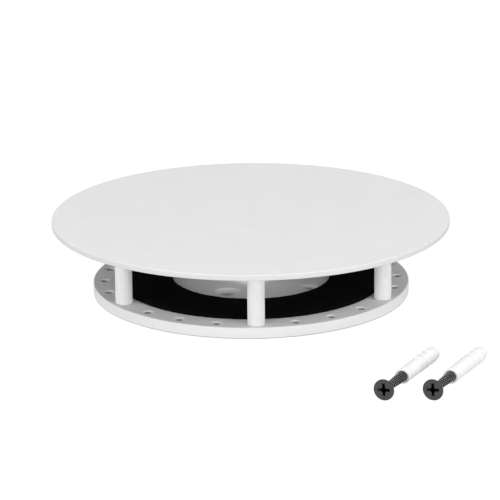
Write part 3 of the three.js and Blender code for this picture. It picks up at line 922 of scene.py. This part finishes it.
def bearing_column():
    flared, foot, top = span_of("bearing_column")
    radius = COLUMN_RADIUS
    start, end = (foot + height for height in COLUMN_FLARE)
    flare = []
    for step in range(1, 16):
        share = step / 16
        ease = share * share * (3 - 2 * share)
        flare.append((radius + (flared - radius) * ease, start + (end - start) * share, 0))
    spread, rise = COLUMN_FOOT
    cove = []
    for step in range(9):
        angle = TURN / 4 * step / 8
        out = spread - (spread - radius) * math.sin(angle)
        cove.append((out, foot + rise * (1 - math.cos(angle)), 0))
    piece = lathe("column", rounded([
        (0, foot, 0), *cove, (radius, start, 0), *flare,
        (flared, end, 0), (flared, top, 0.4 * MM), (COLUMN_BORE, top, 0.3 * MM),
        (COLUMN_BORE, foot + COLUMN_FLOOR, 0), (0, foot + COLUMN_FLOOR, 0),
    ]))
    bite, depth = COLUMN_SCREW_BITE
    hole = rod(bite, -MM, depth, TAPPED_SIDES)
    cut(piece, *hole, places(-middle_of("column_screw_1").y, COLUMN_SCREWS, 0, foot))
    grub_hole = rod(GRUB_RADIUS + 0.1 * MM, 0, 2 * radius, TAPPED_SIDES)
    cut(piece, *moved(grub_hole, GRUB_PLACE))
    piece.name = "flared_column"
    place(shaded(piece), "bearing_column", "paint", 0)


def column_screws():
    head, low, high = span_of("column_screw_1")
    core = COLUMN_SCREW_CORE
    cone = low + head - core
    root = core * THREAD_ROOT
    start, end = Vector((root, cone)), Vector((root, high - 0.4 * MM))
    outline = rounded([(0, low, 0), (head, low, 0.12 * MM), (core, cone, 0)], 4)[:-1]
    outline += [start, *divided(start, end, FINE_STEP), end, (core * 0.5, high), (0, high)]
    relief = thread(core - root, cone + 0.3 * MM, high - 0.2 * MM)
    piece = lathe("socket_screw", outline, BORE_SIDES, relief)
    socket, depth = COLUMN_SCREW_SOCKET
    cut(piece, *hexagon(socket, low - MM, low + depth))
    place_all(shaded(piece), "socket_screw", "column_screw", COLUMN_SCREWS, "steel")


def bushes():
    for node in ("lower_bush", "upper_bush"):
        outline = tube(BUSH_BORE, *span_of(node), BUSH_EDGE, BUSH_EDGE)
        piece = lathe(f"sintered_{node}", outline, RING_SIDES)
        place(shaded(piece), node, "bronze", 0)


def grub_screw():
    """It is made along +Z from the spindle's axis, and then laid down towards the back."""
    low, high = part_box("spindle_grub_screw")
    tip, end = low.y, high.y
    point, length = GRUB_POINT
    core = GRUB_RADIUS * GRUB_ROOT
    start = Vector((core, tip + length + 0.3 * MM))
    full = Vector((core, end - 0.2 * MM))
    outline = [
        (0, tip), (point - 0.1 * MM, tip), (point, tip + 0.1 * MM), (point, tip + length),
        start, *divided(start, full, FINE_STEP), full,
        (core - 0.1 * MM, end), (0, end),
    ]
    first, last = tip + length + 0.2 * MM, end - 0.1 * MM
    relief = thread(GRUB_RADIUS - core, first, last, 0.4 * MM)
    piece = lathe("dog_point_screw", outline, BORE_SIDES, relief)
    socket, depth = GRUB_SOCKET
    cut(piece, *hexagon(socket, end - depth, end + MM))
    shaded(piece)
    piece.data.transform(GRUB_PLACE)
    place(piece, "spindle_grub_screw", "steel")


# ------ bearing


def race_outline(radius, low, high):
    """Lower race with its ball track in the upper face."""
    half = math.acos((BALL_SEAT - (high - low)) / RACE_TRACK)
    track = []
    for step in range(17):
        angle = half * (1 - step / 8)
        across, down = RACE_TRACK * math.sin(angle), RACE_TRACK * math.cos(angle)
        track.append((BALL_CIRCLE + across, low + BALL_SEAT - down, 0))
    return ring([
        (RACE_BORE, low, 0.25 * MM), (radius, low, 0.35 * MM), (radius, high, 0.2 * MM),
        *track,
        (RACE_BORE, high, 0.15 * MM),
    ])


BALL_SEAT = middle_of("bearing_ball_1").z - heights_of("lower_race")[0]


def races():
    low, high = heights_of("lower_race")
    upside_down = tipped(math.pi, 2 * middle_of("bearing_ball_1").z)
    for side, pose in (("lower", Matrix.Identity(4)), ("upper", upside_down)):
        shape = turned(race_outline(radius_of(f"{side}_race"), low, high))
        piece = new_object(f"track_ring_{side}", *moved(shape, pose))
        place(shaded(piece), f"{side}_race", "steel", 0)


def ball_mesh(radius):
    """Vertices and faces of a ball, as a cube whose divided faces are blown up."""
    vertices, faces, index = [], [], {}

    def vertex(point):
        key = tuple(round(c, 6) for c in point)
        if key not in index:
            index[key] = len(vertices)
            bent = Vector([math.tan(c * math.pi / 4) for c in point])
            vertices.append(bent.normalized() * radius)
        return index[key]

    cells = range(BALL_CELLS)
    for axis, sign, i, j in product(range(3), (-1, 1), cells, cells):
        corners = []
        for a, b in ((i, j), (i + 1, j), (i + 1, j + 1), (i, j + 1)):
            point = [0, 0, 0]
            point[axis] = sign
            point[(axis + 1) % 3] = 2 * a / BALL_CELLS - 1
            point[(axis + 2) % 3] = 2 * b / BALL_CELLS - 1
            corners.append(vertex(point))
        faces.append(corners if sign > 0 else corners[::-1])
    return vertices, faces


def balls():
    low, high = heights_of("bearing_ball_1")
    piece = shaded(new_object("ball", *ball_mesh((high - low) / 2)), math.pi)
    height = middle_of("bearing_ball_1").z
    place_all(piece, "steel_ball", "bearing_ball", BALLS, "ball", height)


def cage():
    radius, low, high = span_of("ball_cage")
    piece = lathe("pocket_cage", tube(RACE_BORE, radius, low, high, *CAGE_EDGES))
    pocket = rod(CAGE_POCKET, low - MM, high + MM)
    cut(piece, *pocket, places(BALL_CIRCLE, BALLS))
    place(shaded(piece), "ball_cage", "brass", 0)


# ------ turning top


def platter():
    outline = plate(*span_of("platter"), PLATE_ROUNDING, PLATE_ROUNDING, 8)
    piece = lathe("platter_disc", outline, 2 * SIDES)
    place(shaded(piece), "platter", "rim_shaded_paint", 0)


def hub():
    radius, low, high = span_of("platter_hub")
    pilot_radius, pilot = HUB_PILOT
    piece = lathe("hub_flange", ring([
        (HUB_BORE, low, 0.2 * MM), (pilot_radius, low, 0.25 * MM),
        (pilot_radius, low + pilot, 0.2 * MM), (radius, low + pilot, 0.4 * MM),
        (radius, high, 0.15 * MM), (HUB_BORE, high, 0.15 * MM),
    ]))
    hole = rod(HUB_STUD_HOLE, low, high + MM)
    cut(piece, *hole, places(HUB_STUD_CIRCLE, HUB_STUDS, TURN / 8))
    place(shaded(piece), "platter_hub", "aluminium", 0)


def hub_studs():
    piece = new_object("hub_stud", *threaded_stud(*span_of("hub_stud_1")))
    place_all(shaded(piece), "welded_stud", "hub_stud", HUB_STUDS, "zinc")


def hub_nuts():
    low, high = heights_of("hub_nut_1")
    corner = NUT_FLATS / math.sqrt(3)
    piece = new_object("nut", *hexagon(corner, low, high, TURN / 12))
    bevel, bore, lead = NUT_BEVEL, NUT_BORE, NUT_LEAD
    inner = corner - 2.4 * bevel - bevel
    cone = lathe("tool", [
        (0, low - bevel), (inner, low - bevel), (corner + bevel, low + 1.4 * bevel),
        (corner + bevel, high - 1.4 * bevel), (inner, high + bevel), (0, high + bevel),
    ], RING_SIDES)
    boolean(piece, cone, "INTERSECT")
    cut(piece, *turned([
        (0, low - MM), (bore + lead + MM, low - MM), (bore, low + lead),
        (bore, high - lead), (bore + lead + MM, high + MM), (0, high + MM),
    ], BORE_SIDES))
    place_all(shaded(piece), "hex_nut", "hub_nut", HUB_STUDS, "zinc")


def spindle():
    radius, low, high = span_of("spindle")
    groove, width = SPINDLE_GROOVE
    piece = lathe("turned_spindle", rounded([
        (0, low + SPINDLE_CONE, 0), (SPINDLE_CONE, low, 0), (radius, low, 0.4 * MM),
        (radius, GRUB_HEIGHT - width / 2, 0.1 * MM), (groove, GRUB_HEIGHT - width / 2, 0.1 * MM),
        (groove, GRUB_HEIGHT + width / 2, 0.1 * MM),
        (radius, GRUB_HEIGHT + width / 2, 0.1 * MM), (radius, high, 0.3 * MM),
        (SPINDLE_CONE, high, 0), (0, high - SPINDLE_CONE, 0),
    ], 4), RING_SIDES)
    place(shaded(piece), "spindle", "steel", 0)


# ------ wall screws and plugs


def end_of(node, direction):
    """Middle of a CAD node's end face, at the near end of its axis."""
    corners = {tuple(round(c, 6) for c in v.co) for v in frame["nodes"][node].data.vertices}
    corners = [Vector(corner) for corner in corners]
    first = min(corner.dot(direction) for corner in corners)
    face = [corner for corner in corners if corner.dot(direction) < first + 0.01 * MM]
    return sum(face, Vector()) / len(face)


def cross(span, width, fillet):
    """Outline of a cross with bevelled inner corners."""
    long, half = span / 2, width / 2
    arm = [(long, -half), (long, half), (half + fillet, half), (half, half + fillet)]
    outline = []
    for quarter in range(4):
        turn = Matrix.Rotation(TURN * quarter / 4, 2)
        outline += [turn @ Vector(point) for point in arm]
    return outline


def screw_mesh():
    """Countersunk cross-recess screw, its head's face at 0, pointing along +Z."""
    head, rim, cone = SCREW_HEAD_RADIUS, SCREW_HEAD_RIM, SCREW_HEAD_HEIGHT
    neck, neck_end = SCREW_NECK
    thin_core, core = SCREW_CORE
    thin_crest, crest = SCREW_CREST
    point = SCREW_LENGTH - SCREW_POINT
    step = SCREW_PITCH / 16
    outline = rounded([
        (0, 0, 0), (head, 0, 0.12 * MM), (head, rim, 0.1 * MM), (neck, cone, 0.5 * MM),
        (neck, neck_end, 0),
    ], 5)
    start = Vector((thin_core, neck_end + 0.2 * MM))
    full = Vector((core, SCREW_SWELL))
    taper = Vector((core, point))
    tip = Vector((0.12 * MM, SCREW_LENGTH - 0.1 * MM))
    outline += [start, *divided(start, full, step), full, *divided(full, taper, step), taper]
    outline += [*divided(taper, tip, step), tip, Vector((0, SCREW_LENGTH))]

    def relief(angle, radius, height):
        if height < start.y:
            return 0.0
        swell = min(1.0, (height - start.y) / (full.y - start.y))
        rise = (thin_crest - thin_core) * (1 - swell) + (crest - core) * swell
        share = (height / SCREW_PITCH - angle / TURN) % 1.0
        blade = min(1.0, max(0.0, 1.2 - abs(share - 0.5) / SCREW_BLADE))
        fade = min(1.0, (height - start.y) / SCREW_FADE)
        return rise * blade * fade * min(1.0, radius / thin_core)

    piece = lathe("black_screw", outline, SCREW_SIDES, relief)
    over = 0.5 * MM
    mouth = 1 + (1 - RECESS_TAPER) * over / RECESS_DEPTH
    recess = [point * mouth for point in cross(RECESS_SPAN, RECESS_WIDTH, RECESS_FILLET)]
    cutter = prism(recess, -over, RECESS_DEPTH, RECESS_TAPER / mouth)
    cut(piece, *moved(cutter, Matrix.Rotation(RECESS_TURN, 4, "Z")))
    return shaded(piece, SCREW_SHARP)


def plug_mesh():
    """Ribbed wall plug with its mouth at 0, pointing along +Z."""
    collar, collar_length = PLUG_COLLAR
    tip, tip_length = PLUG_TIP
    body = PLUG_BODY
    corners = [
        (PLUG_BORE, 0, 0.25 * MM), (collar, 0, 0.25 * MM),
        (collar, collar_length, 0.3 * MM), (body, collar_length + 0.5 * MM, 0.3 * MM),
    ]
    to_crest, to_end = PLUG_RIB_SHAPE
    for rib in range(PLUG_RIBS):
        start = PLUG_RIBS_START + rib * PLUG_RIB_PITCH
        corners += [
            (body, start, 0.2 * MM), (PLUG_RIB, start + to_crest, 0.12 * MM),
            (body, start + to_end, 0.5 * MM),
        ]
    corners += [
        (body, PLUG_LENGTH - tip_length, 0.6 * MM), (tip, PLUG_LENGTH, 0.35 * MM),
        (PLUG_BORE, PLUG_LENGTH, 0.1 * MM),
    ]
    piece = lathe("wall_plug", ring(corners, 5), RING_SIDES)
    width, start, end = PLUG_SLOT
    reach = 2 * collar
    corners = [(-width / 2, -reach), (width / 2, -reach), (width / 2, reach), (-width / 2, reach)]
    slot = prism(corners, start, end)
    cut(piece, *moved(slot, Matrix.Rotation(PLUG_SLOT_LEAN, 4, "Z")))
    return shaded(piece)


def wall_fixings():
    screw, plug = screw_mesh(), plug_mesh()
    for number in (1, 2):
        joint = next(j for j in frame["joints"] if j["name"] == f"screw_{number}_drive")
        direction = Vector(joint["axis"]).normalized()
        turn = direction.to_track_quat("Z", "Y").to_matrix().to_4x4()
        pieces = (
            ("phosphate_screw", screw, f"wall_screw_{number}", "black"),
            ("nylon_plug", plug, f"wall_plug_{number}", "plug"),
        )
        for name, shape, node, material in pieces:
            piece = numbered(shape, name, number)
            piece.matrix_world = Matrix.Translation(end_of(node, direction)) @ turn
            place(piece, node, material)


# ------ studio


def camera():
    heading, tilt = CAMERA_HEADING, CAMERA_TILT
    right = Vector((math.cos(heading), -math.sin(heading), 0))
    flat = math.cos(tilt)
    forward = Vector((math.sin(heading) * flat, math.cos(heading) * flat, -math.sin(tilt)))
    up = right.cross(forward)
    across, above = CAMERA_AIM
    position = right * across + up * above - forward * CAMERA_DISTANCE
    cos, sin = math.cos(CAMERA_ROLL), math.sin(CAMERA_ROLL)
    columns = (right * cos + up * sin, up * cos - right * sin, -forward)
    data = bpy.data.cameras.new("camera")
    data.lens = CAMERA_LENS
    data.clip_start, data.clip_end = 0.01, 100
    eye = in_scene("camera", data)
    eye.matrix_world = Matrix.Translation(position) @ Matrix(columns).transposed().to_4x4()
    bpy.context.scene.camera = eye


def area_light(name, position, size, watts):
    data = bpy.data.lights.new(name, "AREA")
    data.shape = "DISK"
    data.size = size
    data.energy = watts
    lamp = in_scene(name, data)
    lamp.location = position
    lamp.rotation_euler = (Vector(LAMP_AIM) - position).to_track_quat("-Z", "Y").to_euler()
    lamp.visible_camera = False


def surround():
    """A white surround to look at, which lights the object by the height that light comes from."""
    world = bpy.data.worlds.new("surround")
    world.use_nodes = True
    tree = world.node_tree
    seen = tree.nodes["Background"]
    feed(tree, seen, {"Color": (1, 1, 1, 1)})
    direction = wired(tree, "TexCoord", {}, "Generated")
    height = wired(tree, "SeparateXYZ", {"Vector": direction}, "Z")
    glow = ramped(tree, height, *[(at, grey(share)) for at, share in SKY])
    lit = wired(tree, "Background", {"Strength": SKY_GLOW, "Color": glow}, "Background")
    seen_share = wired(tree, "LightPath", {}, "Is Camera Ray")
    inputs = {"Fac": seen_share, 1: lit, 2: seen.outputs["Background"]}
    mix = wired(tree, "MixShader", inputs, "Shader")
    feed(tree, tree.nodes["World Output"], {"Surface": mix})
    bpy.context.scene.world = world


def stage_disc(name, radius, middle, material):
    sides = 2 * SIDES
    rim = [middle + point for point in places(radius, sides)]
    disc = new_object(name, rim, [list(range(sides))])
    disc.data.materials.append(material)


def glowing_floor():
    """A light table: white to look at, with a little shade where the object stands."""
    sheet, tree, shader = new_material("light_table")
    sheet.cycles.emission_sampling = "NONE"  # it fills half the view of every point: less noise
    seen = wired(tree, "LightPath", {}, "Is Camera Ray")
    limits = {"To Min": FLOOR_GLOW, "To Max": FLOOR_WHITE}
    feed(tree, shader, {
        "Base Color": (*grey(FLOOR_SHADE), 1),
        "Roughness": 1.0,
        "Specular IOR Level": 0.0,
        "Emission Color": (1, 1, 1, 1),
        "Emission Strength": wired(tree, "MapRange", {**limits, "Value": seen}, "Result"),
    })
    stage_disc("floor", FLOOR_RADIUS, Vector(), sheet)


def painted_shadow_mat():
    """A black card under the base plate: a painted shadow, so that its holes look down into the dark, and at the
    front a thin painted contact shadow along the plate's lower edge.
    """
    card, tree, shader = new_material("painted_shadow_card")
    feed(tree, shader, {"Base Color": (*grey(0.01), 1)})
    middle = Vector((0, -SHADOW_CARD_SHIFT, 0.02 * MM))
    stage_disc("painted_shadow_card", radius_of("base_plate") - SHADOW_CARD_INSET, middle, card)


def studio():
    view = bpy.context.scene.view_settings
    view.view_transform = "Standard"
    view.look = "None"
    surround()
    glowing_floor()
    painted_shadow_mat()
    for name, (heading, height, distance, size, watts) in LAMPS.items():
        flat = distance * math.cos(math.radians(height))
        rise = distance * math.sin(math.radians(height))
        area_light(name, on_circle(flat, math.radians(heading), rise), size, watts)


# ------ assembly


def build():
    base_plate()
    felt_fibres(*felt_pad())
    support_posts()
    post_glides()
    bearing_column()
    column_screws()
    bushes()
    grub_screw()
    races()
    balls()
    cage()
    platter()
    hub()
    hub_studs()
    hub_nuts()
    spindle()
    wall_fixings()


camera()
studio()
build()
